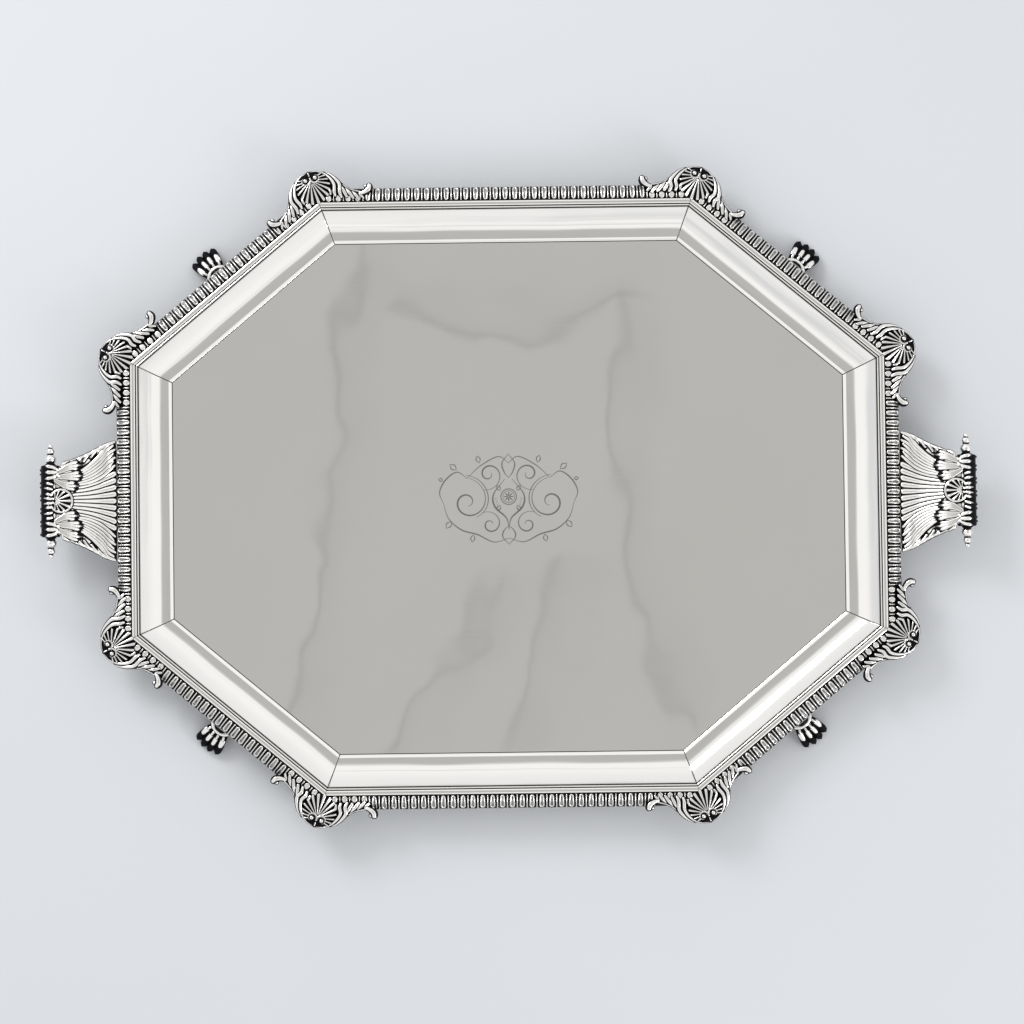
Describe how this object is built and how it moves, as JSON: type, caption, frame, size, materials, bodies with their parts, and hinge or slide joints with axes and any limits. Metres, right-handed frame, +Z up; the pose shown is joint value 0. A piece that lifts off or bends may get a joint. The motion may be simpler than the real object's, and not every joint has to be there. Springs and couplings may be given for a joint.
{
  "type": "two-handled salver",
  "caption": "Octagonal silver salver with a tongue-and-dart border, shell and leaf corners, palmette handles with turned finials, and lion's-paw feet.",
  "frame": {"origin": "centre of the salver on the table it stands on, in the plane of the paws' undersides", "axes": "+X along the salver's length towards the handle_e end, +Y across it, +Z up out of the well"},
  "size_m": [0.741, 0.5242, 0.0428],
  "materials": {
    "rolled_silver": "polished, with fine handling scratches",
    "cast_silver": "polished on the high points, oxidised dark in the recesses",
    "oxidised_silver": "polished tongues on a ground oxidised black"
  },
  "bodies": {
    "root": {"well_plate": "rolled_silver", "bouge_e": "rolled_silver", "bouge_ne": "rolled_silver", "bouge_n": "rolled_silver", "bouge_nw": "rolled_silver", "bouge_w": "rolled_silver", "bouge_sw": "rolled_silver", "bouge_s": "rolled_silver", "bouge_se": "rolled_silver", "rim_wire_e": "rolled_silver", "rim_wire_ne": "rolled_silver", "rim_wire_n": "rolled_silver", "rim_wire_nw": "rolled_silver", "rim_wire_w": "rolled_silver", "rim_wire_sw": "rolled_silver", "rim_wire_s": "rolled_silver", "rim_wire_se": "rolled_silver", "tongue_band_e": "oxidised_silver", "tongue_band_ne": "oxidised_silver", "tongue_band_n": "oxidised_silver", "tongue_band_nw": "oxidised_silver", "tongue_band_w": "oxidised_silver", "tongue_band_sw": "oxidised_silver", "tongue_band_s": "oxidised_silver", "tongue_band_se": "oxidised_silver", "leaf_mount_ene": "cast_silver", "leaf_mount_nne": "cast_silver", "leaf_mount_nnw": "cast_silver", "leaf_mount_wnw": "cast_silver", "leaf_mount_wsw": "cast_silver", "leaf_mount_ssw": "cast_silver", "leaf_mount_sse": "cast_silver", "leaf_mount_ese": "cast_silver", "shell_ene": "cast_silver", "shell_nne": "cast_silver", "shell_nnw": "cast_silver", "shell_wnw": "cast_silver", "shell_wsw": "cast_silver", "shell_ssw": "cast_silver", "shell_sse": "cast_silver", "shell_ese": "cast_silver", "handle_e": "cast_silver", "handle_w": "cast_silver", "spindle_e": "cast_silver", "spindle_w": "cast_silver", "finial_e_n": "cast_silver", "finial_e_s": "cast_silver", "finial_w_n": "cast_silver", "finial_w_s": "cast_silver", "paw_ne": "cast_silver", "paw_nw": "cast_silver", "paw_sw": "cast_silver", "paw_se": "cast_silver", "foot_bracket_ne": "cast_silver", "foot_bracket_nw": "cast_silver", "foot_bracket_sw": "cast_silver", "foot_bracket_se": "cast_silver"}
  },
  "joints": []
}
